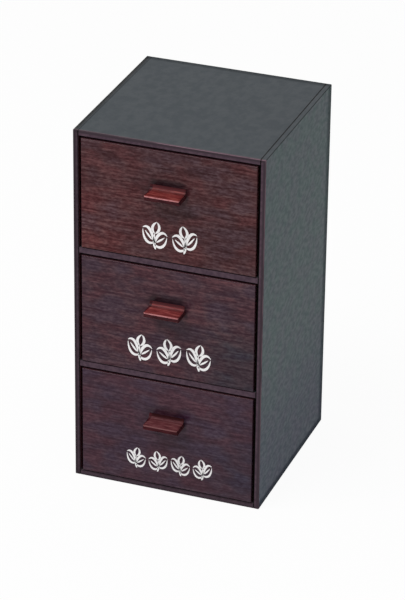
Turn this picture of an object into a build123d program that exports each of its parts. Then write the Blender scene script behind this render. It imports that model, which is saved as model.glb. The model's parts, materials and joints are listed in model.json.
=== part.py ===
from build123d import *
import os

# A tabletop tea chest of thin boards with drawers one above the other.
# Millimetres. X runs to the right, Y to the back, Z up; the chest stands on Z = 0, centred on X and Y.

# The case
chest_width = 110.0
chest_depth = 110.0
bay_height = 67.0
board_thickness = 3.0
arris_radius = 0.5

# The tongues of the level boards, and the grooves for them in the sides
tongue_length = 1.2
tongue_thickness = 1.2
tongue_stop = 6.0
joint_bevel = 0.35
glue_gap = 0.1

# The back panel and the rebate that it lies in
back_thickness = 3.0
back_rebate = 1.5

# Room around a drawer in its bay
drawer_side_gap = 1.6
drawer_top_gap = 1.6
drawer_bottom_gap = 0.5
drawer_rear_gap = 0.3

# The drawer front, which laps over the ends of the drawer's sides
front_thickness = 5.0
front_lap = 2.0

# The drawer box
side_thickness = 3.0
rear_thickness = 3.0
rear_rebate = 1.5
base_thickness = 2.5
base_lift = 2.5
base_groove = 1.2
drawer_edge_radius = 0.4

# The knob: a flat bar with a cove at its root, and a tenon through the drawer front
knob_width = 20.4
knob_reach = 10.4
knob_height = 2.8
knob_cove = 2.4
knob_root_edge = 0.3
knob_edge = 0.5
knob_rise = 8.4
tenon_width = 14.0
tenon_height = 2.0

# How far every open cut runs past the wood
overrun = 1.0

# The drawers and the shelves between them, from the bottom up
drawers = ["bottom_drawer", "middle_drawer", "top_drawer"]
shelves = ["lower_shelf", "upper_shelf"]

# The case, worked out
bay_width = chest_width - 2 * board_thickness
board_pitch = bay_height + board_thickness
chest_height = len(drawers) * board_pitch + board_thickness
front_y = -chest_depth / 2
rear_y = chest_depth / 2
back_y = rear_y - back_thickness
tongue_front = front_y + tongue_stop
back_width = bay_width + 2 * back_rebate
back_height = chest_height - 2 * (board_thickness - back_rebate)

# The drawers, worked out; heights count from the shelf that the drawer stands on
drawer_width = bay_width - 2 * drawer_side_gap
drawer_rear_y = back_y - drawer_rear_gap
front_inner_y = front_y + front_thickness
front_top = bay_height - drawer_top_gap
front_height = front_top - drawer_bottom_gap
front_middle = drawer_bottom_gap + front_height / 2
inside_width = drawer_width - 2 * side_thickness
base_top = base_lift + base_thickness
rear_inner_y = drawer_rear_y - rear_thickness
knob_middle = front_middle + knob_rise


def save(builder, name):
    """Label a finished piece and write it to its own file."""
    builder.part.label = name
    export_step(builder.part, f"parts/{name}.step")


def make_side_panel(name, side):
    """An upright board of the case, full height; side is -1 on the left and 1 on the right."""
    inner_face = Plane.YZ.offset(side * bay_width / 2)
    with BuildPart() as panel:
        with BuildSketch(inner_face):
            with Locations((0, chest_height / 2)):
                Rectangle(chest_depth, chest_height)
        extrude(amount=side * board_thickness)
        # Every arris that a hand meets is eased
        outer_face = panel.faces().sort_by(Axis((0, 0, 0), (side, 0, 0)))[-1]
        fillet(outer_face.edges() + panel.edges().filter_by(Axis.X), arris_radius)
        # One groove for each level board, stopped short of the front so that it doesn't show
        with BuildSketch(inner_face):
            with Locations(((tongue_front + back_y) / 2, chest_height / 2)):
                with GridLocations(0, board_pitch, 1, len(drawers) + 1):
                    Rectangle(back_y - tongue_front, tongue_thickness)
        extrude(amount=side * (tongue_length + glue_gap), mode=Mode.SUBTRACT)
        # The rebate for the back panel, stopped short of the top and the bottom
        with BuildSketch(inner_face):
            with Locations((back_y, chest_height / 2)):
                Rectangle(back_thickness + overrun, back_height, align=(Align.MIN, Align.CENTER))
        extrude(amount=side * back_rebate, mode=Mode.SUBTRACT)
    save(panel, name)


def make_level_board(name, level):
    """A board between the two sides; level 0 is the bottom of the chest, the highest level its top."""
    underside = level * board_pitch
    is_bottom = level == 0
    is_top = level == len(drawers)
    depth = chest_depth if is_bottom or is_top else chest_depth - back_thickness
    with BuildPart() as board:
        with BuildSketch(Plane.XY.offset(underside)):
            with Locations((0, front_y)):
                Rectangle(bay_width, depth, align=(Align.CENTER, Align.MIN))
        extrude(amount=board_thickness)
        # The outer long arrises of the top and the bottom carry on those of the sides
        if is_bottom or is_top:
            outer_face = board.faces().sort_by(Axis.Z)[-1 if is_top else 0]
            fillet(outer_face.edges().filter_by(Axis.X), arris_radius)
        # A fine bevel marks each joint with the sides, on the front edge and on the top of the chest
        board_ends = board.edges().filter_by(Axis.Y).group_by(Axis.Z)[-1] if is_top else []
        front_ends = board.edges().filter_by(Axis.Z).group_by(Axis.Y)[0]
        chamfer(front_ends + board_ends, joint_bevel)
        # A tongue at each end, stopped as its groove is
        with BuildSketch(Plane.XY.offset(underside + (board_thickness - tongue_thickness) / 2)):
            with Locations((0, tongue_front)):
                tongue_reach = bay_width + 2 * tongue_length
                Rectangle(tongue_reach, back_y - tongue_front, align=(Align.CENTER, Align.MIN))
        extrude(amount=tongue_thickness)
        # The top and the bottom carry on the rebate for the back panel
        if is_bottom or is_top:
            rebate_face = underside if is_top else underside + board_thickness
            with BuildSketch(Plane.XY.offset(rebate_face)):
                with Locations((0, back_y)):
                    Rectangle(
                        bay_width + overrun,
                        back_thickness + overrun,
                        align=(Align.CENTER, Align.MIN),
                    )
            extrude(amount=back_rebate if is_top else -back_rebate, mode=Mode.SUBTRACT)
    save(board, name)


def make_back_panel(name):
    """The back of the case, let in flush all round."""
    with BuildPart() as panel:
        with BuildSketch(Plane.XZ.offset(-back_y)):
            with Locations((0, chest_height / 2)):
                Rectangle(back_width, back_height)
        extrude(amount=-back_thickness)
    save(panel, name)


def make_drawer_front(name, floor):
    """The visible front board, rebated for the sides, grooved for the base and slotted for the knob."""
    face = Plane.XZ.offset(-front_y)
    inner_face = Plane.XZ.offset(-front_inner_y)
    with BuildPart() as front:
        with BuildSketch(face):
            with Locations((0, floor + front_middle)):
                Rectangle(drawer_width, front_height)
        extrude(amount=-front_thickness)
        fillet(front.faces().sort_by(Axis.Y)[0].edges(), drawer_edge_radius)
        # A rebate behind each end, for the drawer's side
        with BuildSketch(inner_face):
            with Locations((0, floor + front_middle)):
                with GridLocations(inside_width + side_thickness + overrun, 0, 2, 1):
                    Rectangle(side_thickness + overrun, front_height + overrun)
        extrude(amount=front_thickness - front_lap, mode=Mode.SUBTRACT)
        # The groove that holds the front edge of the base
        with BuildSketch(inner_face):
            with Locations((0, floor + base_lift)):
                groove_width = inside_width + 2 * base_groove
                Rectangle(groove_width, base_thickness, align=(Align.CENTER, Align.MIN))
        extrude(amount=base_groove, mode=Mode.SUBTRACT)
        # The slot that the knob's tenon is glued into
        with BuildSketch(face):
            with Locations((0, floor + knob_middle)):
                Rectangle(tenon_width, tenon_height)
        extrude(amount=-front_thickness, mode=Mode.SUBTRACT)
    save(front, name)


def make_drawer_side(name, floor, side):
    """A long side of a drawer, which slides with its lower edge on the shelf."""
    inner_face = Plane.YZ.offset(side * inside_width / 2)
    side_front = front_y + front_lap
    with BuildPart() as board:
        with BuildSketch(inner_face):
            with Locations((side_front, floor)):
                Rectangle(drawer_rear_y - side_front, front_top, align=(Align.MIN, Align.MIN))
        extrude(amount=side * side_thickness)
        # The upper arrises are eased
        fillet(board.edges().filter_by(Axis.Y).group_by(Axis.Z)[-1], drawer_edge_radius)
        # The groove for the base, open at the rear so that the base slides in
        with BuildSketch(inner_face):
            with Locations((front_inner_y - base_groove, floor + base_lift)):
                groove_run = drawer_rear_y - front_inner_y + base_groove + overrun
                Rectangle(groove_run, base_thickness, align=(Align.MIN, Align.MIN))
        extrude(amount=side * base_groove, mode=Mode.SUBTRACT)
        # The rebate for the rear board
        with BuildSketch(inner_face):
            with Locations((rear_inner_y, floor + base_top)):
                Rectangle(rear_thickness + overrun, front_top, align=(Align.MIN, Align.MIN))
        extrude(amount=side * rear_rebate, mode=Mode.SUBTRACT)
    save(board, name)


def make_drawer_back(name, floor):
    """The rear board of a drawer, which stands on the base between the two sides."""
    with BuildPart() as board:
        with BuildSketch(Plane.XZ.offset(-rear_inner_y)):
            with Locations((0, floor + base_top)):
                Rectangle(
                    inside_width + 2 * rear_rebate,
                    front_top - base_top,
                    align=(Align.CENTER, Align.MIN),
                )
        extrude(amount=-rear_thickness)
        fillet(board.edges().filter_by(Axis.X).group_by(Axis.Z)[-1], drawer_edge_radius)
    save(board, name)


def make_drawer_base(name, floor):
    """The floor of a drawer, held in grooves at the front and the sides and running under the back."""
    base_front = front_inner_y - base_groove + glue_gap
    with BuildPart() as board:
        with BuildSketch(Plane.XY.offset(floor + base_lift)):
            with Locations((0, base_front)):
                Rectangle(
                    inside_width + 2 * (base_groove - glue_gap),
                    drawer_rear_y - base_front,
                    align=(Align.CENTER, Align.MIN),
                )
        extrude(amount=base_thickness)
    save(board, name)


def make_drawer_knob(name, floor):
    """A flat bar to pull the drawer by, with a cove at its root and a tenon through the drawer front."""
    with BuildPart() as knob:
        # The profile from the side: the cove rises from the level top and ends thin against the drawer front
        with BuildSketch(Plane.YZ) as profile:
            with Locations((front_y, floor + knob_middle)):
                root_height = knob_height / 2 + knob_cove + knob_root_edge
                Rectangle(knob_reach, knob_height, align=(Align.MAX, Align.CENTER))
                Rectangle(knob_root_edge, root_height, align=(Align.MAX, Align.MIN))
            inner_corner = profile.vertices().group_by(Axis.Y)[-2].sort_by(Axis.X)[-1]
            fillet(inner_corner, knob_cove)
        extrude(amount=knob_width / 2, both=True)
        # The arrises round the end that fingers hold are bevelled
        chamfer(knob.faces().sort_by(Axis.Y)[0].edges(), knob_edge)
        with BuildSketch(Plane.XZ.offset(-front_y)):
            with Locations((0, floor + knob_middle)):
                Rectangle(tenon_width, tenon_height)
        extrude(amount=-front_thickness)
    save(knob, name)


os.makedirs("parts", exist_ok=True)

make_side_panel("left_side_panel", -1)
make_side_panel("right_side_panel", 1)
for level, name in enumerate(["bottom_panel", *shelves, "top_panel"]):
    make_level_board(name, level)
make_back_panel("back_panel")

for bay, drawer in enumerate(drawers):
    floor = board_thickness + bay * board_pitch
    make_drawer_front(f"{drawer}_front", floor)
    make_drawer_side(f"{drawer}_left_side", floor, -1)
    make_drawer_side(f"{drawer}_right_side", floor, 1)
    make_drawer_back(f"{drawer}_back", floor)
    make_drawer_base(f"{drawer}_base", floor)
    make_drawer_knob(f"{drawer}_knob", floor)

print(f"chest {chest_width:.1f} x {chest_depth:.1f} x {chest_height:.1f} mm")
print(f"drawer front {drawer_width:.1f} x {front_height:.1f} mm, inside {inside_width:.1f} mm wide")
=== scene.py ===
# %% [markdown]
# # A little tea chest with three drawers
# The real object is a small wooden chest that stands on a table and keeps tea bags in three drawers.
# Its boards already exist as exact solids, so this lesson models no box again. It dresses the solids:
# lacquer on the case, stained grain on the drawers, white brush drawings, a camera and soft light.
# Everything is in metres, in the frame of the solids: X to the right, Y to the back, Z up.

# %% Load the solids
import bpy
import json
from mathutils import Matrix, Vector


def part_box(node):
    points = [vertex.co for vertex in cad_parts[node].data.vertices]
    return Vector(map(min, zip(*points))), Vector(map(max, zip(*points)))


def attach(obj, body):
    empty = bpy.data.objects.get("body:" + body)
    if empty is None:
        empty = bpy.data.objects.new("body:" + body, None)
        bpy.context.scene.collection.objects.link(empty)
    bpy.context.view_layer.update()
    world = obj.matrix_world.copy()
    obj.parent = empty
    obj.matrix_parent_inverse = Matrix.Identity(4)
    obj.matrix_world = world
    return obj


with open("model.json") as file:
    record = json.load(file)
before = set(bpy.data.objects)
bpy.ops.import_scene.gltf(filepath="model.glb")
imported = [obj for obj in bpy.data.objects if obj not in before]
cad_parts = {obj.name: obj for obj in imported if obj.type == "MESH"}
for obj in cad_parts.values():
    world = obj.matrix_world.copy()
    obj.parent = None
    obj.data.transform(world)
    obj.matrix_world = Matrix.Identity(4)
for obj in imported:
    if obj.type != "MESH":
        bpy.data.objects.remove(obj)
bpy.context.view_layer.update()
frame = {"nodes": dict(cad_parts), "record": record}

# %% [markdown]
# ## Sizes come from the solids
# A finish that starts at the front edge of a board has to know where that edge is. Typing the number again
# would work until somebody resizes the chest, so the planes are measured on the loaded boards instead.

# %% Measure the planes that the finishes need
import bpy
import json
import math
from mathutils import Quaternion, Vector

MM = 0.001
DRAWERS = ("top", "middle", "bottom")


def in_mm(length):
    """A length as text, in millimetres."""
    return f"{length / MM:.2f} mm"


side_low, side_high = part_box("right_side_panel")
front_plane = side_low.y
back_plane = side_high.y
side_plane = side_high.x
seam_plane = side_low.x
chest_height = side_high.z
print("front plane at", in_mm(front_plane), "and height", in_mm(chest_height))
print("the level boards meet the sides", in_mm(seam_plane), "from the middle")

# %% [markdown]
# ## The camera
# The photograph looks at the right front corner from above, through a long lens that hardly bends the
# upright edges. A camera is easiest to aim as a photographer does it: pick a point to look at, walk round it
# by an angle, climb by an angle, step back, and turn the camera a little about its own line of sight.

# %% Place the camera
camera_target = Vector((0.2, 0.1, 94.4)) * MM
camera_azimuth = math.radians(20.05)
camera_elevation = math.radians(27.02)
camera_roll = math.radians(0.70)
camera_distance = 1.8107
camera_lens = 193.3
picture_long_side = 36.0


def direction_from(azimuth, elevation):
    """A unit vector from the object towards a viewer or a lamp; azimuth 0 is straight in front."""
    level = math.cos(elevation)
    return Vector((math.sin(azimuth) * level, -math.cos(azimuth) * level, math.sin(elevation)))


def aim(thing, place, target, roll=0.0):
    """Puts a camera or a lamp at a place, looking at a target."""
    look = (target - place).to_track_quat("-Z", "Y")
    thing.location = place
    thing.rotation_mode = "QUATERNION"
    thing.rotation_quaternion = look @ Quaternion((0.0, 0.0, 1.0), roll)


camera_data = bpy.data.cameras.new("photo_camera")
camera_data.lens = camera_lens
camera_data.sensor_width = picture_long_side
camera = bpy.data.objects.new("photo_camera", camera_data)
bpy.context.scene.collection.objects.link(camera)
camera_place = camera_target + direction_from(camera_azimuth, camera_elevation) * camera_distance
aim(camera, camera_place, camera_target, camera_roll)
bpy.context.scene.camera = camera
bpy.context.scene.view_settings.view_transform = "Standard"
print("camera stands at", [round(value, 3) for value in camera_place], "m")

# %% [markdown]
# ## Building node trees with few words
# Every finish below is a small graph of nodes. Making a node, setting its fields and linking its sockets
# takes three kinds of call in Blender, so one helper does all three: a plain value is set on the socket, and
# a socket is linked to it. Other helpers start a material, and link the colour, the roughness and the relief
# that every finish has.

# %% Nodes and materials
def add_node(tree, kind, sockets=None, **fields):
    """Adds a node; sockets maps an input's name or number to a value, or to another node's output."""
    node = tree.nodes.new(kind)
    for field, value in fields.items():
        setattr(node, field, value)
    for name, value in (sockets or {}).items():
        if isinstance(value, bpy.types.NodeSocket):
            tree.links.new(value, node.inputs[name])
        else:
            node.inputs[name].default_value = value
    return node


def start_material(name):
    """A new material with its own Principled shader; returns the material, its tree and the shader."""
    material = bpy.data.materials.new(name)
    material.use_nodes = True
    shader = material.node_tree.nodes["Principled BSDF"]
    return material, material.node_tree, shader


def connect(tree, shader, skin, roughness, relief):
    """Links the colour, the roughness and the relief of a finish to its shader."""
    tree.links.new(skin, shader.inputs["Base Color"])
    tree.links.new(roughness, shader.inputs["Roughness"])
    tree.links.new(relief, shader.inputs["Normal"])


def colour(red, green, blue):
    """A colour socket's value, in linear light."""
    return (red, green, blue, 1.0)


print("node helpers are ready")

# %% [markdown]
# ## Sums
# A mask is a number from 0 to 1 that says where a stain or some wear lies. It could be painted on the boards
# by hand. Here it is worked out from the place on the board, so that it follows the sizes of the chest. That
# takes sums, and a Math node does one sum at a time, so these helpers string them together.

# %% Sums with nodes
def arithmetic(tree, operation, first, second=0.0):
    """One Math node's output."""
    return add_node(tree, "ShaderNodeMath", {0: first, 1: second}, operation=operation).outputs[0]


def chain(tree, operation, values):
    """Applies one operation from value to value."""
    result = values[0]
    for value in values[1:]:
        result = arithmetic(tree, operation, result, value)
    return result


def product(tree, *values):
    """All the values multiplied with each other."""
    return chain(tree, "MULTIPLY", values)


def largest(tree, *values):
    """The largest of the values."""
    return chain(tree, "MAXIMUM", values)


def less(tree, value, share):
    """The value, reduced by a share of itself."""
    return arithmetic(tree, "SUBTRACT", value, product(tree, value, share))


def without_sign(tree, value):
    """The size of a value, such as the distance from the middle of the chest."""
    return arithmetic(tree, "ABSOLUTE", value)


def distance_to(tree, value, plane):
    """How far a value is from a plane, on either side of it."""
    return without_sign(tree, arithmetic(tree, "SUBTRACT", value, plane))


print("sums are ready")

# %% [markdown]
# ## Fades and mixtures
# Real wear has no sharp border. A Map Range node lets a number go smoothly from 0 to 1 along a length, and a
# Mix node then blends two colours by that number. A layer of paint is mixed in, and a glaze is multiplied.
# The Mix node has sockets of every kind: 0 is the share, 2 and 3 take values, 6 and 7 take colours. What it
# makes comes out at 0 for values and at 2 for colours.

# %% Fades and mixtures
def fade(tree, value, start, end):
    """Goes smoothly from 0 to 1 while the value goes from start to end."""
    sockets = {"Value": value, "From Min": start, "From Max": end}
    node = add_node(tree, "ShaderNodeMapRange", sockets, interpolation_type="SMOOTHSTEP")
    return node.outputs["Result"]


def within(tree, value, plane, band):
    """1 up to half a band past a plane, 0 from a whole band past it; a band below 0 goes the other way."""
    return fade(tree, value, plane + band, plane + band / 2)


def spread(tree, value, start, end, low=0.0, high=1.0):
    """Goes evenly from start to end while the value goes from low to high."""
    sockets = {"Value": value, "From Min": low, "From Max": high, "To Min": start, "To Max": end}
    return add_node(tree, "ShaderNodeMapRange", sockets).outputs["Result"]


def blend_values(tree, share, first, second):
    """Mixes two values by a share."""
    return add_node(tree, "ShaderNodeMix", {0: share, 2: first, 3: second}).outputs[0]


def blend_colours(tree, share, first, second, blend_type="MIX"):
    """Mixes two colours by a share."""
    sockets = {0: share, 6: first, 7: second}
    node = add_node(tree, "ShaderNodeMix", sockets, data_type="RGBA", blend_type=blend_type)
    return node.outputs[2]


def tinted(tree, skin, tint, share=1.0):
    """Lays a tint over a colour, as a glaze does."""
    return blend_colours(tree, share, skin, tint, "MULTIPLY")


print("fades and mixtures are ready")

# %% [markdown]
# ## White floor
# In the photograph the chest stands on plain white, so the floor and the world behind it are white. For the
# rays that come from the camera, or by way of a glossy surface, the paper of the floor glows at strength 1,
# which is white. A part of it stays plain matt paper that the lamp lights, and that part keeps the shadow.

# %% White floor
floor_half_width = 6.0
paper_white = colour(0.80, 0.80, 0.80)
paper_glow_share = 0.95


def seen_directly(tree):
    """1 for camera, glossy and transmitted rays, 0 for the rays that carry light to matt surfaces."""
    path = add_node(tree, "ShaderNodeLightPath").outputs
    return largest(tree, path["Is Camera Ray"], path["Is Glossy Ray"], path["Is Transmission Ray"])


def white_paper():
    """Matt white paper that the camera sees as white, with a soft shadow left on it."""
    material, tree, shader = start_material("white_paper")
    shader.inputs["Base Color"].default_value = paper_white
    shader.inputs["Roughness"].default_value = 1.0
    shader.inputs["Specular IOR Level"].default_value = 0.0
    glow = add_node(tree, "ShaderNodeEmission", {"Strength": 1.0})
    share = product(tree, seen_directly(tree), paper_glow_share)
    sockets = {0: share, 1: shader.outputs["BSDF"], 2: glow.outputs["Emission"]}
    mixed = add_node(tree, "ShaderNodeMixShader", sockets)
    tree.links.new(mixed.outputs["Shader"], tree.nodes["Material Output"].inputs["Surface"])
    return material


def flat_sheet(name, half_width):
    """A square sheet on the table top, at height 0."""
    corners = [(-1, -1), (1, -1), (1, 1), (-1, 1)]
    mesh = bpy.data.meshes.new(name)
    mesh.from_pydata([(x * half_width, y * half_width, 0.0) for x, y in corners], [], [(0, 1, 2, 3)])
    sheet = bpy.data.objects.new(name, mesh)
    bpy.context.scene.collection.objects.link(sheet)
    return sheet


floor = flat_sheet("paper_floor", floor_half_width)
floor.data.materials.append(white_paper())
print("floor is", 2 * floor_half_width, "m wide")

# %% [markdown]
# ## Soft light
# The photograph hardly shows a shadow, as in a white room with one large lamp. A spotlight would draw a hard
# edge, so the lamp is a softbox one metre wide, up on the left. The room itself is white to the eye and in
# reflections, and sheds half of that as light, so that colours look about as they are written.

# %% World and lamp
sky_level = 0.50
softbox_size = 1.0
softbox_distance = 1.7
softbox_azimuth = math.radians(-34.0)
softbox_elevation = math.radians(58.0)
softbox_power = 19.0


def white_world():
    """White to the eye and in reflections, a soft even light for everything else."""
    world = bpy.data.worlds.new("white_room")
    world.use_nodes = True
    tree = world.node_tree
    strength = spread(tree, seen_directly(tree), sky_level, 1.0)
    background = tree.nodes["Background"]
    background.inputs["Color"].default_value = colour(1.0, 1.0, 1.0)
    tree.links.new(strength, background.inputs["Strength"])
    return world


def softbox(name, azimuth, elevation, distance, size, power):
    """A square studio lamp that looks at the middle of the chest."""
    lamp_data = bpy.data.lights.new(name, "AREA")
    lamp_data.shape = "SQUARE"
    lamp_data.size = size
    lamp_data.energy = power
    lamp = bpy.data.objects.new(name, lamp_data)
    bpy.context.scene.collection.objects.link(lamp)
    middle = Vector((0.0, 0.0, chest_height / 2))
    aim(lamp, middle + direction_from(azimuth, elevation) * distance, middle)
    return lamp


bpy.context.scene.world = white_world()
key_lamp = softbox(
    "key_softbox", softbox_azimuth, softbox_elevation, softbox_distance, softbox_size, softbox_power
)
print("softbox hangs at", [round(value, 2) for value in key_lamp.location], "m, sky level", sky_level)

# %% [markdown]
# ## Grain from stretched noise
# Wood grain is noise that has been pulled out along the board. A picture of wood could be wrapped round the
# boards, but it would need a file and would show its borders. The Object coordinates of a solid are metres
# here, so a noise is described by the sizes of one streak, and a Mapping node divides by them.

# %% Streaks of grain
def place_on_object(tree):
    """Object coordinates: the place on the chest in metres."""
    return add_node(tree, "ShaderNodeTexCoord").outputs["Object"]


def parts_of(tree, vector):
    """The X, Y and Z of a vector, as outputs with those names."""
    return add_node(tree, "ShaderNodeSeparateXYZ", {0: vector}).outputs


def streaks(tree, place, streak, detail=3.0, rough=0.55, bend=0.0):
    """Noise whose blots are as long, deep and high as the three lengths of streak."""
    scale = [1.0 / length for length in streak]
    mapping = add_node(tree, "ShaderNodeMapping", {"Vector": place, "Scale": scale})
    sockets = {"Vector": mapping.outputs["Vector"], "Scale": 1.0}
    sockets.update({"Detail": detail, "Roughness": rough, "Distortion": bend})
    return add_node(tree, "ShaderNodeTexNoise", sockets).outputs["Fac"]


def ramp(tree, value, levels, tones):
    """A Color Ramp that has each tone at its level."""
    node = add_node(tree, "ShaderNodeValToRGB", {"Fac": value})
    elements = node.color_ramp.elements
    while len(elements) < len(levels):
        elements.new(1.0)
    for element, level, tone in zip(elements, levels, tones):
        element.position = level
        element.color = tone
    return node.outputs["Color"]


def bump(tree, height, depth):
    """A Bump node's normal; depth is the real height of the relief."""
    node = add_node(tree, "ShaderNodeBump", {"Height": height, "Distance": depth, "Strength": 1.0})
    return node.outputs["Normal"]


print("grain helpers are ready")

# %% [markdown]
# ## Where the surface turns
# Wear gathers on the arrises, the narrow rounded or bevelled edges between two faces. Blender can find them
# by how sharply the mesh bends, but these boards are square to the axes. So a face that looks along none of
# the axes is an arris, and the direction of the surface is all that the mask needs.

# %% Directions and arrises
axis_limits = (0.40, 0.80)
flat_limits = (0.80, 0.98)


def facing(tree):
    """The three parts of the surface's direction, without their signs."""
    normal = add_node(tree, "ShaderNodeTexCoord").outputs["Normal"]
    size = add_node(tree, "ShaderNodeVectorMath", {0: normal}, operation="ABSOLUTE")
    return parts_of(tree, size.outputs["Vector"])


def arris(tree):
    """1 on rounded or bevelled arrises, 0 on the flat faces that look along one of the axes."""
    looks = facing(tree)
    widest = largest(tree, looks["X"], looks["Y"], looks["Z"])
    return fade(tree, widest, *reversed(flat_limits))


print("a face is flat where it looks along an axis by", flat_limits[1], "or more")

# %% [markdown]
# ## Lacquer on the case
# The boards of the case carry a dark satin lacquer. Seen flat it is nearly black, and the charcoal grey in
# the photograph is its sheen, so the colour is dark and the shader's own gloss does the rest. The top and
# the back are a calm neutral grey. The sides take a lighter, greener tone of the same lacquer, which is
# painted light standing in for the light and sheen they catch, so the tone is chosen by the way a face
# looks. Small blots make the lacquer a little lighter or darker. On the sides faint wide clouds shift its
# hue, and towards the foot painted shade makes it darker and bluer.

# %% Mottled lacquer
calm_lacquer = (colour(0.042, 0.050, 0.057), colour(0.046, 0.054, 0.061))
side_lacquer = (colour(0.040, 0.067, 0.074), colour(0.056, 0.083, 0.089))
blot_levels = (0.40, 0.60)
top_blot = (4.4 * MM, 6.5 * MM, 2.0 * MM)
side_blot = (2.2 * MM, 4.5 * MM, 2.4 * MM)
lacquer_cloud = (11 * MM, 14 * MM, 11 * MM)
cloud_tints = (colour(0.89, 1.0, 0.96), colour(1.04, 0.93, 1.0))
cloud_levels = (0.42, 0.58)
painted_foot_shade = colour(0.66, 0.58, 0.86)


def lacquer_blots(tree, place, level):
    """Blots in the lacquer, wider on the level faces than on the upright ones."""
    on_top = streaks(tree, place, top_blot, detail=2.0, rough=0.6)
    on_sides = streaks(tree, place, side_blot, detail=2.0)
    return blend_values(tree, level, on_sides, on_top)


def mottled_lacquer(tree, place, blots, sideways, foot):
    """Calm grey, but on the faces that look sideways a greener, cloudier tone painted lighter, with painted
    shade towards the foot.
    """
    calm = ramp(tree, blots, blot_levels, calm_lacquer)
    greener = ramp(tree, blots, blot_levels, side_lacquer)
    clouds = streaks(tree, place, lacquer_cloud, detail=1.0)
    greener = tinted(tree, greener, ramp(tree, clouds, cloud_levels, cloud_tints))
    # Painted shade: the sides turn darker and bluer towards the foot.
    greener = tinted(tree, greener, painted_foot_shade, foot)
    return blend_colours(tree, sideways, calm, greener)


print("blots on the sides are", in_mm(side_blot[1]), "deep, clouds", in_mm(lacquer_cloud[1]))

# %% [markdown]
# ## Darker edges
# The lacquer is painted darker along its rear edges, along the foot and at the left edge of the top, so
# those edges outline the case. A mask gives the share of darkness: most at the edge, and none further in.
# The mask of the rear edges and the foot will also make them dull, because on a dark lacquer the sheen shows
# more than the colour does.

# %% Dark edges
# Near black: for the dark seams, for painted shade, and for the arrises painted dark.
seam_and_shade_black = colour(0.002, 0.002, 0.002)
rear_top_band = 5.2 * MM
rear_top_shade = 0.36
rear_side_band = 7.6 * MM
rear_side_shade = 0.37
foot_band = 5.5 * MM
foot_shade = 0.47
left_strip_width = 3.6 * MM
left_strip_shade = 0.9


def outer_edge(tree, parts, looks, level):
    """The share by which the rear edges and the foot are painted darker; 0 on the front and the back."""
    on_top = product(tree, within(tree, parts["Y"], back_plane, -rear_top_band), rear_top_shade)
    on_side = product(tree, within(tree, parts["Y"], back_plane, -rear_side_band), rear_side_shade)
    at_rear = blend_values(tree, level, on_side, on_top)
    at_foot = product(tree, within(tree, parts["Z"], 0.0, foot_band), foot_shade)
    not_along = fade(tree, looks["Y"], *reversed(axis_limits))
    return product(tree, largest(tree, at_rear, at_foot), not_along)


def left_strip(tree, parts, level):
    """The share by which the left edge of the top is painted darker."""
    at_left = fade(tree, parts["X"], left_strip_width - side_plane, left_strip_width / 3 - side_plane)
    return product(tree, at_left, level, left_strip_shade)


print("rear edges of the sides are dark for", in_mm(rear_side_band), "and the foot for", in_mm(foot_band))

# %% [markdown]
# ## Seams between the boards
# Where two boards meet, dust has drawn a dark line. The level boards meet the sides in two upright planes,
# and the back panel has a border all round, so the distance from those gives the mask. Two places stay out
# of it: the inner faces of the sides, which lie in the same planes, and the left seam of the top and of the
# underside, which the lacquer has filled almost level.

# %% Dark seams
seam_shade = 0.45 * MM
left_seam_fill = 0.9


def near_seam(tree, parts):
    """1 along the two planes where the level boards meet the sides."""
    distance = distance_to(tree, without_sign(tree, parts["X"]), seam_plane)
    return within(tree, distance, 0.0, seam_shade)


def near_back_seam(tree, parts):
    """1 along the border of the back panel, where it lies in its rebate."""
    low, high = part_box("back_panel")
    middle = (low.z + high.z) / 2
    past_side = arithmetic(tree, "SUBTRACT", without_sign(tree, parts["X"]), high.x)
    past_end = arithmetic(tree, "SUBTRACT", distance_to(tree, parts["Z"], middle), high.z - middle)
    distance = without_sign(tree, largest(tree, past_side, past_end))
    return within(tree, distance, 0.0, seam_shade)


def filled_seam(tree, parts):
    """The share by which lacquer fills the left seam of a level face, 0 at every other seam."""
    on_left_half = fade(tree, parts["X"], 0.0, -seam_plane / 2)
    level = fade(tree, facing(tree)["Z"], *axis_limits)
    return product(tree, on_left_half, level, left_seam_fill)


def dark_seams(tree, parts, sideways):
    """1 on the seams that have gone dark."""
    on_back = within(tree, parts["Y"], back_plane, -seam_shade)
    seam = blend_values(tree, on_back, near_seam(tree, parts), near_back_seam(tree, parts))
    seam = less(tree, seam, sideways)
    return less(tree, seam, filled_seam(tree, parts))


print("a seam is", in_mm(2 * seam_shade), "wide with its soft borders")

# %% [markdown]
# ## Stain on the front edges
# The front edges of the boards show a red-brown stain. They are the same boards, and a second material would
# mean cutting their faces up, so the stain is chosen by depth: all that lies within a hair of the front
# plane. It is darker along the outer border and on the left board, and painted shade darkens a line under
# the bottom drawer. Its arrises carry a painted highlight in patches, less towards the left and towards the
# foot.

# %% Masks for the front edges
border_width = 2.2 * MM
highlight_patch = (30 * MM, 30 * MM, 30 * MM)
highlight_levels = (0.36, 0.52)
highlight_start = 60 * MM
foot_height = 110 * MM


def near_border(tree, parts):
    """1 along the outer border of the case as seen from the front, 0 further in."""
    half_height = chest_height / 2
    from_side = arithmetic(tree, "SUBTRACT", side_plane, without_sign(tree, parts["X"]))
    from_end = arithmetic(tree, "SUBTRACT", half_height, distance_to(tree, parts["Z"], half_height))
    return within(tree, arithmetic(tree, "MINIMUM", from_side, from_end), 0.0, border_width)


def under_drawer_shade(tree, parts):
    """1 where painted shade lies along the upper half of the bottom panel's front edge, under the drawer, 0
    elsewhere.
    """
    panel_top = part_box("bottom_panel")[1].z
    rising = fade(tree, parts["Z"], panel_top / 2, panel_top)
    below = within(tree, parts["Z"], panel_top, seam_shade)
    between = fade(tree, without_sign(tree, parts["X"]), seam_plane, seam_plane - seam_shade)
    return product(tree, rising, below, between)


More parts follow.
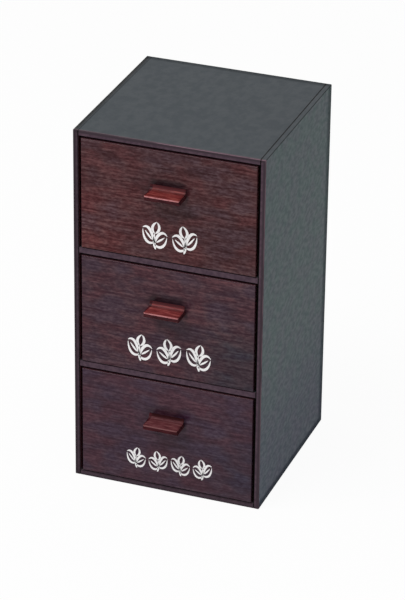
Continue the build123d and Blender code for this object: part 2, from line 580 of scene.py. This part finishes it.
def arris_highlight_patches(tree, place, parts):
    """Uneven patches of painted highlight, fewer towards the left and towards the foot."""
    patches = fade(tree, streaks(tree, place, highlight_patch), *highlight_levels)
    past_left = fade(tree, parts["X"], highlight_start / 3 - side_plane, highlight_start - side_plane)
    above_foot = fade(tree, parts["Z"], -foot_height / 3, foot_height)
    return product(tree, patches, past_left, above_foot)


print("the border is", in_mm(border_width), "wide")

# %% Front edge stain
edge_stain = (colour(0.058, 0.035, 0.050), colour(0.090, 0.056, 0.074))
edge_stain_levels = (0.35, 0.65)
border_stain = colour(0.044, 0.029, 0.038)
# The arris tone is a painted highlight, and the line under the bottom drawer is painted shade.
arris_highlight_tone = colour(0.208, 0.128, 0.160)
left_board_shade = 0.3
under_drawer_shade_share = 0.5


def front_edge_stain(tree, place, parts, blots, turned):
    """The stain of everything in the front plane, with a painted highlight on its arrises and painted shade
    under the bottom drawer.
    """
    stain = ramp(tree, blots, edge_stain_levels, edge_stain)
    stain = blend_colours(tree, near_border(tree, parts), stain, border_stain)
    painted_highlight = product(tree, turned, arris_highlight_patches(tree, place, parts))
    stain = blend_colours(tree, painted_highlight, stain, arris_highlight_tone)
    on_left_board = fade(tree, parts["X"], -seam_plane, -seam_plane - seam_shade)
    stain = blend_colours(tree, product(tree, on_left_board, left_board_shade), stain, seam_and_shade_black)
    shade_under_drawer = product(tree, under_drawer_shade(tree, parts), under_drawer_shade_share)
    return blend_colours(tree, shade_under_drawer, stain, seam_and_shade_black)


print("the front edges have", len(edge_stain), "tones of stain, a border and a rubbed tone")

# %% [markdown]
# ## Behind the front edges
# The brush that stained the front edges went a little way into the openings, which shows in the gaps beside
# the drawers. On the level boards a painted highlight lies just behind the front edge. Both could be extra
# pieces of veneer, but they are only colour, so two more masks by depth do it.

# %% Stain brushed inside, and the highlighted strip
inside_stain = colour(0.075, 0.022, 0.028)
inside_depth = 8.0 * MM
inside_band = 1.0 * MM
top_edge_highlight_tone = colour(0.105, 0.075, 0.085)
top_edge_highlight_band = 1.4 * MM


def brushed_inside(tree, parts, sideways):
    """1 where the stain was brushed into the openings, on the inner faces of the two sides."""
    inner = within(tree, without_sign(tree, parts["X"]), seam_plane, inside_band)
    near_front = within(tree, parts["Y"], front_plane, inside_depth)
    return product(tree, inner, sideways, near_front)


def top_edge_highlight(tree, parts, level):
    """1 on the level faces just behind the front edge, where a painted highlight lies."""
    return product(tree, within(tree, parts["Y"], front_plane, top_edge_highlight_band), level)


print("stain reaches", in_mm(inside_depth), "into the openings")

# %% [markdown]
# ## The case finish, put together
# One material serves all the boards of the case, so a stain can run from board to board. It is built up in
# layers: lacquer, dark edges, stain at the front, and last the seams. Most of the mottling looks like uneven
# polish, so the blots steer the roughness as well as the colour.

# %% Polish of the lacquer
lacquer_roughness = (0.46, 0.37)
polish_levels = (0.35, 0.65)
foot_dullness = 0.03
edge_dullness = 0.5


def lacquer_polish(tree, blots, foot, edges):
    """The roughness: blots duller and shinier, a dull foot and dull rear edges."""
    polish = spread(tree, blots, *lacquer_roughness, *polish_levels)
    foot_dulled = product(tree, foot, foot_dullness)
    edges_dulled = product(tree, edges, edge_dullness)
    return arithmetic(tree, "ADD", polish, arithmetic(tree, "ADD", foot_dulled, edges_dulled))


print("the blots have a roughness between", lacquer_roughness[1], "and", lacquer_roughness[0])

# %% Case lacquer
edge_stain_depth = 0.60 * MM
edge_stain_full_depth = 0.48 * MM
lacquer_relief = 0.08 * MM
lacquer_gloss = 0.07


def case_lacquer():
    """Dark satin lacquer for every board of the case."""
    material, tree, shader = start_material("case_lacquer")
    place = place_on_object(tree)
    parts = parts_of(tree, place)
    looks = facing(tree)
    turned = arris(tree)
    level = fade(tree, looks["Z"], *axis_limits)
    sideways = fade(tree, looks["X"], *axis_limits)
    foot = fade(tree, parts["Z"], foot_height, 0.0)
    blots = lacquer_blots(tree, place, level)
    edges = outer_edge(tree, parts, looks, level)
    lacquer = mottled_lacquer(tree, place, blots, sideways, foot)
    # The arrises of the lacquer are painted nearly black, a painted reflection of dark surroundings; the
    # edges and the left strip are painted darker too.
    darkened = largest(tree, turned, left_strip(tree, parts, level), edges)
    lacquer = blend_colours(tree, darkened, lacquer, seam_and_shade_black)
    lacquer = blend_colours(tree, brushed_inside(tree, parts, sideways), lacquer, inside_stain)
    lacquer = blend_colours(tree, top_edge_highlight(tree, parts, level), lacquer, top_edge_highlight_tone)
    stain = front_edge_stain(tree, place, parts, blots, turned)
    in_front = fade(tree, parts["Y"], front_plane + edge_stain_depth, front_plane + edge_stain_full_depth)
    skin = blend_colours(tree, in_front, lacquer, stain)
    skin = blend_colours(tree, dark_seams(tree, parts, sideways), skin, seam_and_shade_black)
    polish = lacquer_polish(tree, blots, foot, edges)
    connect(tree, shader, skin, polish, bump(tree, blots, lacquer_relief))
    shader.inputs["Specular IOR Level"].default_value = lacquer_gloss
    return material


case_finish = case_lacquer()
print("made the case lacquer of", len(case_finish.node_tree.nodes), "nodes")

# %% [markdown]
# ## Dark lines in the seams
# Where a level board meets a side, its end has a fine bevel, and glue and dust fill that groove. The line is
# thinner than a pencil stroke, yet it draws the joint on the top and on the front. A painted line could lie
# on the boards; here a thin bar of matt filler lies in each groove, so the line is there from every side. In
# the left seam of the top the filler has been lacquered over, so it is grey there.

# %% Seam filler
filler_tones = (colour(0.003, 0.002, 0.003), colour(0.012, 0.009, 0.010))
filler_levels = (0.35, 0.70)
filler_grit = (0.8 * MM, 0.8 * MM, 0.8 * MM)
filler_roughness = (0.85, 1.0)
filler_relief = 0.02 * MM
filler_gloss = 0.05
filled_grey = colour(0.022, 0.026, 0.030)


def seam_filler():
    """Matt dark filler, a little uneven."""
    material, tree, shader = start_material("seam_filler")
    place = place_on_object(tree)
    grit = streaks(tree, place, filler_grit)
    skin = ramp(tree, grit, filler_levels, filler_tones)
    skin = blend_colours(tree, filled_seam(tree, parts_of(tree, place)), skin, filled_grey)
    rough = spread(tree, grit, *filler_roughness)
    connect(tree, shader, skin, rough, bump(tree, grit, filler_relief))
    shader.inputs["Specular IOR Level"].default_value = filler_gloss
    return material


filler = seam_filler()
print("made the seam filler of", len(filler.node_tree.nodes), "nodes")

# %% Pieces and bars
import bmesh


def new_piece(name, mesh_builder, material, body):
    """Turns a bmesh into an object with one material that rides on a body."""
    bmesh.ops.recalc_face_normals(mesh_builder, faces=mesh_builder.faces)
    mesh = bpy.data.meshes.new(name)
    mesh_builder.to_mesh(mesh)
    mesh_builder.free()
    mesh.materials.append(material)
    piece = bpy.data.objects.new(name, mesh)
    bpy.context.scene.collection.objects.link(piece)
    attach(piece, body)
    return piece


def join_rings(mesh_builder, near, far):
    """Joins two rings of points with a band of four-sided faces."""
    for index in range(len(near)):
        after = (index + 1) % len(near)
        mesh_builder.faces.new((near[index], near[after], far[after], far[index]))


def add_bar(mesh_builder, outline, sweep):
    """A closed bar: an outline of points, carried along the sweep."""
    near = [mesh_builder.verts.new(point) for point in outline]
    far = [mesh_builder.verts.new(point + sweep) for point in outline]
    mesh_builder.faces.new(near)
    mesh_builder.faces.new(far)
    join_rings(mesh_builder, near, far)


print("pieces and bars can be made")

# %% Fill the grooves
seam_bevel = 0.35 * MM
seam_clear = 0.01 * MM
arris_radius = 0.5 * MM
filler_depth = seam_bevel - 2 * seam_clear
groove_face = seam_plane - filler_depth
wall_face = seam_plane - seam_clear


def fill_top_groove(mesh_builder, side):
    """Filler in the groove along the top, on the left for side -1 and on the right for side 1."""
    start = front_plane + arris_radius
    level = chest_height - seam_clear
    across = [(groove_face, level), (wall_face, level), (wall_face, level - filler_depth)]
    outline = [Vector((side * x, start, z)) for x, z in across]
    add_bar(mesh_builder, outline, Vector((0.0, back_plane - arris_radius - start, 0.0)))


def fill_front_groove(mesh_builder, side, board):
    """Filler in the groove at one end of a level board's front edge, short of the case's own arrises."""
    low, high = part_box(board)
    foot = low.z + (arris_radius if board == "bottom_panel" else 0.0)
    head = high.z - (arris_radius if board == "top_panel" else 0.0)
    face = front_plane + seam_clear
    across = [(groove_face, face), (wall_face, face), (wall_face, face + filler_depth)]
    outline = [Vector((side * x, y, foot)) for x, y in across]
    add_bar(mesh_builder, outline, Vector((0.0, 0.0, head - foot)))


seams = bmesh.new()
for side in (-1, 1):
    fill_top_groove(seams, side)
    for board in ("bottom_panel", "lower_shelf", "upper_shelf", "top_panel"):
        fill_front_groove(seams, side, board)
seam_lines = new_piece("case_seam_lines", seams, filler, "case")
print("seam lines:", len(seam_lines.data.polygons), "faces")

# %% [markdown]
# ## Stained grain on the drawer fronts
# Each drawer front is a thin board of straight-grained wood, cut with the grain level and stained a dark
# red-brown. Up close the stain breaks up into short level dashes: tan where hard grain kept it out, nearly
# black where the pores drank it. One noise would look like clouds, so three are laid together: long lines,
# short dashes and fine pores.

# %% Grain of the drawer fronts
long_grain = (24 * MM, 8 * MM, 1.4 * MM)
short_dash = (2.6 * MM, 3.0 * MM, 1.2 * MM)
fine_pore = (4.0 * MM, 3.0 * MM, 0.45 * MM)
dash_share = 0.45
pore_levels = (0.40, 0.28)


def level_grain(tree, place):
    """Long lines of grain with short dashes among them."""
    lines = streaks(tree, place, long_grain, detail=2.0, bend=0.1)
    dashes = streaks(tree, place, short_dash, detail=2.0)
    return blend_values(tree, dash_share, lines, dashes)


def sunk_pores(tree, place):
    """1 in the fine pores, 0 on the wood between them."""
    return fade(tree, streaks(tree, place, fine_pore, detail=2.0), *pore_levels)


print("grain lines are", in_mm(long_grain[0]), "long, dashes", in_mm(short_dash[0]))

# %% [markdown]
# ## Uneven stain
# A hand-wiped stain is never even. Wide clouds make it a little lighter and darker, and patches lean to red
# or to blue. One lower corner of each board took it differently: on the top drawer the left one is lighter,
# on the two others the right one is less red. Each of these is a tint laid over the grain, as a glaze is on
# real wood.

# %% Clouds, patches and corners
stain_cloud = (38 * MM, 20 * MM, 16 * MM)
stain_cloud_tints = (colour(0.84, 0.86, 0.92), colour(1.0, 1.0, 1.0))
stain_cloud_levels = (0.36, 0.64)
stain_patch = (15 * MM, 12 * MM, 8 * MM)
stain_patch_tints = (colour(1.14, 0.88, 0.88), colour(1.0, 1.0, 1.0), colour(0.90, 1.02, 1.14))
stain_patch_levels = (0.36, 0.50, 0.64)
corner_start = 5 * MM
corner_full = 42 * MM
corner_height = 46 * MM
corner_full_height = 24 * MM
corner_tints = {
    "top": (-1, colour(1.42, 1.30, 1.20)),
    "middle": (1, colour(0.60, 0.94, 0.97)),
    "bottom": (1, colour(0.78, 0.98, 1.00)),
}


def lower_corner(tree, parts, drawer, side):
    """1 in the lower corner of a drawer front, on the left for side -1 and on the right for side 1."""
    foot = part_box(drawer + "_drawer_front")[0].z
    sideways = fade(tree, parts["X"], side * corner_start, side * corner_full)
    downwards = fade(tree, parts["Z"], foot + corner_height, foot + corner_full_height)
    return product(tree, sideways, downwards)


def uneven_stain(tree, place, parts, skin, drawer):
    """Lays the clouds, the patches and the corner of one drawer front over its grain."""
    clouds = streaks(tree, place, stain_cloud, detail=1.0)
    skin = tinted(tree, skin, ramp(tree, clouds, stain_cloud_levels, stain_cloud_tints))
    patches = streaks(tree, place, stain_patch, detail=1.0)
    skin = tinted(tree, skin, ramp(tree, patches, stain_patch_levels, stain_patch_tints))
    side, corner_tint = corner_tints[drawer]
    return tinted(tree, skin, corner_tint, lower_corner(tree, parts, drawer, side))


print("clouds are", in_mm(stain_cloud[0]), "long, patches", in_mm(stain_patch[0]))

# %% [markdown]
# ## Painted shade round the knobs
# Above each knob the wood carries painted shade, and a small patch of painted shadow lies beside the knob's
# right end. Numbers could say where that is, but the knob's own box says it as well, and with it the patches
# stay with the knob.

# %% Painted shade round the knobs
knob_shade_tone = colour(0.006, 0.002, 0.004)
knob_shade_reach = 6.0 * MM
knob_shade_shares = {"top": 0.75, "middle": 0.78, "bottom": 0.45}
end_shadow_width = 2.6 * MM
end_shadow_drop = 3.4 * MM
end_shadow_share = 0.5


def shade_above_knob(tree, parts, drawer):
    """The share of painted shade above the knob, with soft limits."""
    low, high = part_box(drawer + "_drawer_knob")
    from_middle = without_sign(tree, parts["X"])
    across = fade(tree, from_middle, high.x + knob_shade_reach / 2, high.x - knob_shade_reach / 2)
    above = fade(tree, parts["Z"], high.z + knob_shade_reach, high.z + knob_shade_reach / 5)
    not_below = fade(tree, parts["Z"], low.z, high.z)
    return product(tree, across, above, not_below, knob_shade_shares[drawer])


def shadow_beside_knob(tree, parts, drawer):
    """The share of painted shadow beside the knob's right end."""
    low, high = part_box(drawer + "_drawer_knob")
    from_knob = fade(tree, parts["X"], high.x - end_shadow_width, high.x)
    to_end = fade(tree, parts["X"], high.x + end_shadow_width, high.x + end_shadow_width / 4)
    from_below = fade(tree, parts["Z"], low.z - end_shadow_drop, low.z)
    to_top = fade(tree, parts["Z"], high.z + end_shadow_width, high.z)
    return product(tree, from_knob, to_end, from_below, to_top, end_shadow_share)


print("touched wood reaches", in_mm(knob_shade_reach), "above each knob")

# %% [markdown]
# ## The drawer fronts, put together
# The three boards differ, the upper one redder, the lower one darker. One recipe serves them all, each with
# its own three tones. The arrises are dark, and the narrow level edges, which show in the gaps round the
# drawer, have a thinner stain. A thin polish lies over it all, so the shader is rather smooth, while pores
# and grain stay as a fine relief.

# %% Drawer front wood
front_tones = {
    "top": (colour(0.031, 0.002, 0.004), colour(0.064, 0.021, 0.024), colour(0.116, 0.055, 0.056)),
    "middle": (colour(0.033, 0.007, 0.016), colour(0.057, 0.024, 0.033), colour(0.109, 0.054, 0.062)),
    "bottom": (colour(0.032, 0.009, 0.019), colour(0.052, 0.022, 0.036), colour(0.086, 0.045, 0.061)),
}
front_tone_levels = (0.37, 0.50, 0.64)
level_edge_tone = colour(0.088, 0.033, 0.042)
front_roughness = (0.13, 0.22)
front_relief = 0.02 * MM
front_gloss = 0.18


def drawer_front_wood(drawer):
    """Red-brown stain over level grain, in the tones of one drawer."""
    material, tree, shader = start_material(drawer + "_front_wood")
    place = place_on_object(tree)
    parts = parts_of(tree, place)
    dark = front_tones[drawer][0]
    grain = level_grain(tree, place)
    sunk = sunk_pores(tree, place)
    skin = ramp(tree, grain, front_tone_levels, front_tones[drawer])
    skin = blend_colours(tree, sunk, skin, dark)
    skin = uneven_stain(tree, place, parts, skin, drawer)
    # Painted shade above each knob and painted shadow beside its right end.
    painted_knob_shade = largest(tree, shade_above_knob(tree, parts, drawer), shadow_beside_knob(tree, parts, drawer))
    skin = blend_colours(tree, painted_knob_shade, skin, knob_shade_tone)
    skin = blend_colours(tree, arris(tree), skin, dark)
    level_edge = fade(tree, facing(tree)["Z"], *flat_limits)
    skin = blend_colours(tree, level_edge, skin, level_edge_tone)
    rough = spread(tree, grain, *front_roughness)
    relief = bump(tree, arithmetic(tree, "SUBTRACT", grain, sunk), front_relief)
    connect(tree, shader, skin, rough, relief)
    shader.inputs["Specular IOR Level"].default_value = front_gloss
    return material


front_woods = {drawer: drawer_front_wood(drawer) for drawer in DRAWERS}
print("made", len(front_woods), "drawer front woods:", ", ".join(front_woods))

# %% [markdown]
# ## Plain wood inside the drawers
# The sides, backs and bases of the drawers only show when a drawer is pulled out. Such boxes are of the same
# dark-stained wood without the polish, so the surface is dull. The grain of a board runs along it, so there
# are two materials, one for the boards that run from left to right and one for those that run to the back.

# %% Drawer box wood
box_tones = (colour(0.020, 0.009, 0.007), colour(0.045, 0.021, 0.016), colour(0.085, 0.043, 0.032))
box_tone_levels = (0.30, 0.52, 0.75)
box_grain_length = 26 * MM
box_grain_width = 1.1 * MM
box_roughness = (0.70, 0.52)
box_relief = 0.05 * MM
box_gloss = 0.30


def drawer_box_wood(name, streak):
    """Dull dark wood with its grain along the longest side of a streak."""
    material, tree, shader = start_material(name)
    grain = streaks(tree, place_on_object(tree), streak, detail=5.0, rough=0.6, bend=0.3)
    skin = ramp(tree, grain, box_tone_levels, box_tones)
    rough = spread(tree, grain, *box_roughness)
    connect(tree, shader, skin, rough, bump(tree, grain, box_relief))
    shader.inputs["Specular IOR Level"].default_value = box_gloss
    return material


streak_across = (box_grain_length, box_grain_width, box_grain_width)
streak_deep = (box_grain_width, box_grain_length, box_grain_width)
box_wood_across = drawer_box_wood("drawer_box_wood_across", streak_across)
box_wood_deep = drawer_box_wood("drawer_box_wood_deep", streak_deep)
print("made", box_wood_across.name, "and", box_wood_deep.name)

# %% [markdown]
# ## Red wood for the knobs
# The flat bar that a finger pulls is a redder wood, with the grain along the bar. The red shows on its level
# top, while the cove at its root, the ends, the front and the underside keep a dark stain, which is partly
# painted shade where those faces catch less light. That stain has run over the top from the left end as a
# thin wedge, and along the right end the top is darker in a band. Painted shade lies in the hollow of the
# cove. Separate pieces could carry the two colours. The real bar is one piece of wood, so here too one
# material does it, with masks measured from the box of the top knob. The other two lie just below it, so the
# same masks fit them.

# %% Stain and painted shade on the knobs
knob_low, knob_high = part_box("top_drawer_knob")
knob_left = knob_low.x
knob_right = knob_high.x
knob_tip = knob_low.y
knob_end_slope = 0.16
knob_end_fade = 0.25 * MM
knob_right_band = 1.4 * MM
knob_right_share = 0.6
knob_cove_depth = 2.2 * MM
hollow_start = 1.6 * knob_cove_depth
hollow_full = 1.15 * knob_cove_depth
hollow_ends = {"top": 1.6 * MM, "middle": 1.6 * MM, "bottom": 0.8 * MM}
hollow_shades = {"top": 0.45, "middle": 0.50, "bottom": 0.32}


def clear_of_ends(tree, parts):
    """1 where neither the stain from the left end nor the darker band along the right end lies on the top.
    """
    from_end = arithmetic(tree, "SUBTRACT", parts["X"], knob_left)
    from_tip = arithmetic(tree, "SUBTRACT", parts["Y"], knob_tip)
    past_wedge = arithmetic(tree, "SUBTRACT", from_end, product(tree, from_tip, knob_end_slope))
    clear = fade(tree, past_wedge, -knob_end_fade, knob_end_fade)
    near_right = fade(tree, parts["X"], knob_right - knob_right_band, knob_right)
    return less(tree, clear, product(tree, near_right, knob_right_share))


def painted_hollow_shade(tree, parts, drawer):
    """The share of painted shade in the hollow of the cove."""
    before = fade(tree, parts["Y"], front_plane - hollow_start, front_plane - hollow_full)
    end = hollow_ends[drawer]
    behind = fade(tree, parts["Y"], front_plane - end / 2, front_plane - end)
    return product(tree, before, behind, hollow_shades[drawer])


print("a knob is", in_mm(knob_right - knob_left), "wide")

# %% [markdown]
# ## The highlighted rim of the knobs
# The upper front arris of each knob carries a painted highlight: a pale rim in uneven patches, less towards
# the right end. The arris is there in the solid, so the rim needs no shape of its own. It is the arris mask,
# kept to the front and to the faces that look up.

# %% Pale rim
rim_start = 0.96 * MM
rim_full = 0.80 * MM
rim_upward_levels = (0.50, 0.65)
rim_patch = (3 * MM, 3 * MM, 3 * MM)
rim_patch_levels = (0.25, 0.50)
rim_run = 5.0 * MM
rim_loss = 0.45


def painted_rim_highlight(tree, place, parts, upward):
    """The share of painted highlight along the upper front arris."""
    in_front = fade(tree, parts["Y"], knob_tip + rim_start, knob_tip + rim_full)
    upper_arris = product(tree, arris(tree), fade(tree, upward, *rim_upward_levels))
    painted_highlight = fade(tree, streaks(tree, place, rim_patch), *rim_patch_levels)
    towards_right = fade(tree, parts["X"], knob_right - rim_run, knob_right)
    rim = product(tree, upper_arris, in_front, painted_highlight)
    return less(tree, rim, product(tree, towards_right, rim_loss))


print("the rim ends", in_mm(rim_start), "behind the tip")

# %% [markdown]
# ## The knobs, put together
# The three knobs are not alike: the lowest one is browner and hardly has a rim. They could be three
# materials written out in full. Here each knob takes shares of the same tones, which keeps the recipe in one
# place. A knob is less polished than the drawer front, so its shader has little gloss.

# %% Knob tones
knob_tones = ((0.100, 0.013, 0.011), (0.190, 0.028, 0.024), (0.320, 0.072, 0.052))
knob_tone_levels = (0.32, 0.52, 0.74)
knob_tone_shares = {"top": (0.91, 1.03, 1.15), "middle": (1.04, 1.25, 1.50), "bottom": (0.66, 1.25, 1.68)}
knob_stain_and_shade = (colour(0.022, 0.004, 0.006), colour(0.070, 0.014, 0.018))
knob_stain_and_shade_levels = (0.30, 0.70)
knob_cove_tone = (0.105, 0.026, 0.030)
knob_cove_shares = {"top": 0.80, "middle": 0.80, "bottom": 0.30}
knob_rim_highlight_tone = (0.400, 0.150, 0.155)
knob_rim_highlight_shares = {"top": 1.0, "middle": 1.0, "bottom": 0.40}


def scaled(tone, shares):
    """A tone with each channel taken by its own share."""
    return colour(*[part * share for part, share in zip(tone, shares)])


def evenly_scaled(tone, share):
    """A tone with all its channels taken by the same share."""
    return scaled(tone, (share, share, share))


def knob_red(tree, grain, parts, drawer):
    """The red grain of the level top, with painted shade in the hollow of the cove."""
    tones = [scaled(tone, knob_tone_shares[drawer]) for tone in knob_tones]
    red = ramp(tree, grain, knob_tone_levels, tones)
    return blend_colours(tree, painted_hollow_shade(tree, parts, drawer), red, knob_stain_and_shade[0])


def knob_dark_stain_and_shade(tree, grain, in_cove, drawer):
    """The dark stain of the ends and the front, partly painted shade, a little lighter in the cove."""
    stain = ramp(tree, grain, knob_stain_and_shade_levels, knob_stain_and_shade)
    return blend_colours(tree, in_cove, stain, evenly_scaled(knob_cove_tone, knob_cove_shares[drawer]))


print("knob tones for", ", ".join(knob_tone_shares))

# %% Knob wood
knob_grain = (7 * MM, 1.3 * MM, 0.9 * MM)
knob_upward_levels = (0.35, 0.65)
knob_root_start = knob_cove_depth / 7
knob_root_end = knob_cove_depth / 3
knob_roughness = (0.22, 0.32)
knob_relief = 0.02 * MM
knob_gloss = {"top": 0.07, "middle": 0.07, "bottom": 0.03}


def knob_wood(drawer):
    """Red wood on the level top, dark stain with painted shade on the front and the ends, a painted
    highlight along the front.
    """
    material, tree, shader = start_material(drawer + "_knob_wood")
    place = place_on_object(tree)
    parts = parts_of(tree, place)
    upward = parts_of(tree, add_node(tree, "ShaderNodeTexCoord").outputs["Normal"])["Z"]
    grain = streaks(tree, place, knob_grain, detail=4.0, rough=0.6)
    clear = clear_of_ends(tree, parts)
    in_cove = product(tree, fade(tree, parts["Y"], front_plane - knob_cove_depth, front_plane), clear)
    stain = knob_dark_stain_and_shade(tree, grain, in_cove, drawer)
    off_root = fade(tree, parts["Y"], front_plane - knob_root_start, front_plane - knob_root_end)
    # The faces that don't look up take the dark stain, which is partly painted shade.
    top_face = product(tree, fade(tree, upward, *knob_upward_levels), off_root, clear)
    skin = blend_colours(tree, top_face, stain, knob_red(tree, grain, parts, drawer))
    rim_tone = evenly_scaled(knob_rim_highlight_tone, knob_rim_highlight_shares[drawer])
    skin = blend_colours(tree, painted_rim_highlight(tree, place, parts, upward), skin, rim_tone)
    rough = spread(tree, grain, *knob_roughness)
    connect(tree, shader, skin, rough, bump(tree, grain, knob_relief))
    shader.inputs["Specular IOR Level"].default_value = knob_gloss[drawer]
    return material


knob_woods = {drawer: knob_wood(drawer) for drawer in DRAWERS}
print("made", len(knob_woods), "knob woods:", ", ".join(knob_woods))

# %% [markdown]
# ## Tea sprigs in white brush strokes
# Low on each drawer front stands a row of tea sprigs in white paint: two on the top drawer, three on the
# middle one and four on the bottom one. They could be a picture on the wood, but a brush leaves a thin
# raised skin of paint, so every stroke is a ribbon of its own. It follows a curve, swells soon after it
# starts and ends in a point, and its back is sunk a hair into the wood.

# %% Along a curve
stroke_look_ahead = 0.01
stroke_end_width = 0.10 * MM
swell_lead = 0.75
swell_fullness = 0.6


def curve_point(curve, share):
    """A point on a cubic curve through its first and last point, pulled by the two between."""
    start, lead, trail, end = curve
    rest = 1.0 - share
    return (
        start * rest**3
        + lead * (3 * share * rest**2)
        + trail * (3 * share**2 * rest)
        + end * share**3
    )


def stroke_sides(curve, share, full_width):
    """The left and the right border of a stroke at one place along it."""
    ahead = curve_point(curve, min(share + stroke_look_ahead, 1.0))
    behind = curve_point(curve, max(share - stroke_look_ahead, 0.0))
    run = ahead - behind
    across = Vector((-run.y, run.x)).normalized()
    swell = max(math.sin(math.pi * share**swell_lead), 0.0) ** swell_fullness
    half = max(full_width * swell, stroke_end_width) / 2
    middle = curve_point(curve, share)
    return middle - across * half, middle + across * half


print("a stroke ends", in_mm(stroke_end_width), "wide")

# %% One brush stroke
paint_sink = 0.02 * MM
paint_rise = 0.05 * MM
stroke_steps = 20


def add_stroke(mesh_builder, curve, full_width):
    """One stroke of paint on the drawer front, as a closed ribbon; the curve's points are (x, z)."""
    back = front_plane + paint_sink
    face = front_plane - paint_rise
    rings = []
    for step in range(stroke_steps + 1):
        share = (1.0 - math.cos(math.pi * step / stroke_steps)) / 2
        left, right = stroke_sides(curve, share, full_width)
        corners = [(left, back), (right, back), (right, face), (left, face)]
        rings.append([mesh_builder.verts.new((point.x, depth, point.y)) for point, depth in corners])
    mesh_builder.faces.new(rings[0])
    mesh_builder.faces.new(rings[-1])
    for near, far in zip(rings, rings[1:]):
        join_rings(mesh_builder, near, far)


print("a stroke has", 4 * stroke_steps + 2, "faces")

# %% [markdown]
# ## One sprig
# A sprig is what tea pickers take: two leaves and a bud on a stem. It is drawn here upright, with each
# stroke given as four points of a curve and a width. The points are shares of the sprig's half width and of
# its height, so that one drawing serves every size.

# %% Draw a sprig
sprig_half_width = 7.2 * MM
sprig_height = 16.4 * MM
sprig_strokes = (
    (((0.16, 0.00), (0.00, 0.14), (-0.06, 0.34), (0.00, 0.60)), 1.50 * MM),
    (((-0.04, 0.26), (-0.24, 0.70), (-0.66, 0.86), (-1.00, 0.70)), 1.70 * MM),
    (((-0.04, 0.24), (-0.44, 0.10), (-0.92, 0.28), (-0.98, 0.66)), 1.50 * MM),
    (((-0.18, 0.33), (-0.40, 0.42), (-0.58, 0.50), (-0.80, 0.62)), 1.10 * MM),
    (((0.02, 0.20), (0.20, 0.62), (0.62, 0.76), (1.00, 0.56)), 1.70 * MM),
    (((0.04, 0.18), (0.44, 0.00), (0.94, 0.14), (0.98, 0.52)), 1.50 * MM),
    (((0.18, 0.26), (0.40, 0.34), (0.58, 0.40), (0.80, 0.50)), 1.10 * MM),
    (((-0.02, 0.58), (-0.40, 0.72), (-0.20, 0.90), (0.10, 1.00)), 1.50 * MM),
    (((0.04, 0.58), (0.46, 0.70), (0.34, 0.90), (0.12, 0.99)), 1.50 * MM),
)


def add_sprig(mesh_builder, foot, lean, size, side):
    """Draws one sprig: the foot is (x, z), the lean turns it to the right, side -1 draws it mirrored."""
    def laid(share_across, share_up):
        across = side * share_across * sprig_half_width * size
        up = share_up * sprig_height * size
        turned = (
            across * math.cos(lean) + up * math.sin(lean),
            up * math.cos(lean) - across * math.sin(lean),
        )
        return foot + Vector(turned)

    for points, width in sprig_strokes:
        add_stroke(mesh_builder, [laid(*point) for point in points], width * size)


print("a sprig has", len(sprig_strokes), "strokes")

# %% [markdown]
# ## Rows of sprigs
# The paint is a plain white with the hairs of the brush in it, which a fine stretched noise gives. Along a
# row every second sprig is mirrored and leans the other way, so that it looks drawn by hand. Each sprig is a
# piece of its own and rides on its drawer.

# %% White paint
paint_tones = (colour(0.86, 0.84, 0.84), colour(0.96, 0.95, 0.95))
paint_levels = (0.30, 0.55)
brush_hair = (2.0 * MM, 2.0 * MM, 0.5 * MM)
paint_roughness = (0.40, 0.60)
paint_relief = 0.02 * MM


def brush_white():
    """White paint with the hairs of the brush in it."""
    material, tree, shader = start_material("brush_white")
    hairs = streaks(tree, place_on_object(tree), brush_hair)
    skin = ramp(tree, hairs, paint_levels, paint_tones)
    rough = spread(tree, hairs, *paint_roughness)
    connect(tree, shader, skin, rough, bump(tree, hairs, paint_relief))
    return material


white_paint = brush_white()
print("made the white paint of", len(white_paint.node_tree.nodes), "nodes")

# %% Paint the rows
sprig_middle = 15.2 * MM
sprig_lean = math.radians(4.0)
# A row has a count of sprigs, their spacing, how far the row sits to the right, and the sprigs' size.
sprig_rows = {
    "top": (2, 17.4 * MM, 1.1 * MM, 1.0),
    "middle": (3, 17.2 * MM, 1.1 * MM, 1.0),
    "bottom": (4, 13.2 * MM, 1.7 * MM, 0.79),
}


def paint_row(drawer):
    """Paints one drawer's row of sprigs, each as a piece of its own, and returns their number."""
    count, spacing, offset, size = sprig_rows[drawer]
    half_height = sprig_height * size / 2
    row_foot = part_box(drawer + "_drawer_left_side")[0].z + sprig_middle - half_height
    for index in range(count):
        side = -1 if index % 2 else 1
        lean = side * sprig_lean
        middle = offset + spacing * (index - (count - 1) / 2)
        foot = Vector((middle - math.sin(lean) * half_height, row_foot))
        sprig = bmesh.new()
        add_sprig(sprig, foot, lean, size, side)
        new_piece(drawer + "_drawer_sprig_" + str(index + 1), sprig, white_paint, drawer + "_drawer")
    return count


print("painted", sum([paint_row(drawer) for drawer in DRAWERS]), "sprigs")

# %% [markdown]
# ## Give each solid its finish
# A solid that came from the frame keeps its mesh. A dressed copy could stand in its place, but then every
# shape would be there twice, so only the material in the solid's slot changes.

# %% Dress the solids
def dress(node_name, material):
    """Puts one material on a solid."""
    solid = frame["nodes"][node_name]
    solid.data.materials.clear()
    solid.data.materials.append(material)


for board in frame["record"]["behaviour"]["bodies"]["case"]:
    dress(board, case_finish)
for drawer in DRAWERS:
    dress(drawer + "_drawer_front", front_woods[drawer])
    dress(drawer + "_drawer_left_side", box_wood_deep)
    dress(drawer + "_drawer_right_side", box_wood_deep)
    dress(drawer + "_drawer_back", box_wood_across)
    dress(drawer + "_drawer_base", box_wood_across)
    dress(drawer + "_drawer_knob", knob_woods[drawer])
print("dressed", len(frame["nodes"]), "solids")
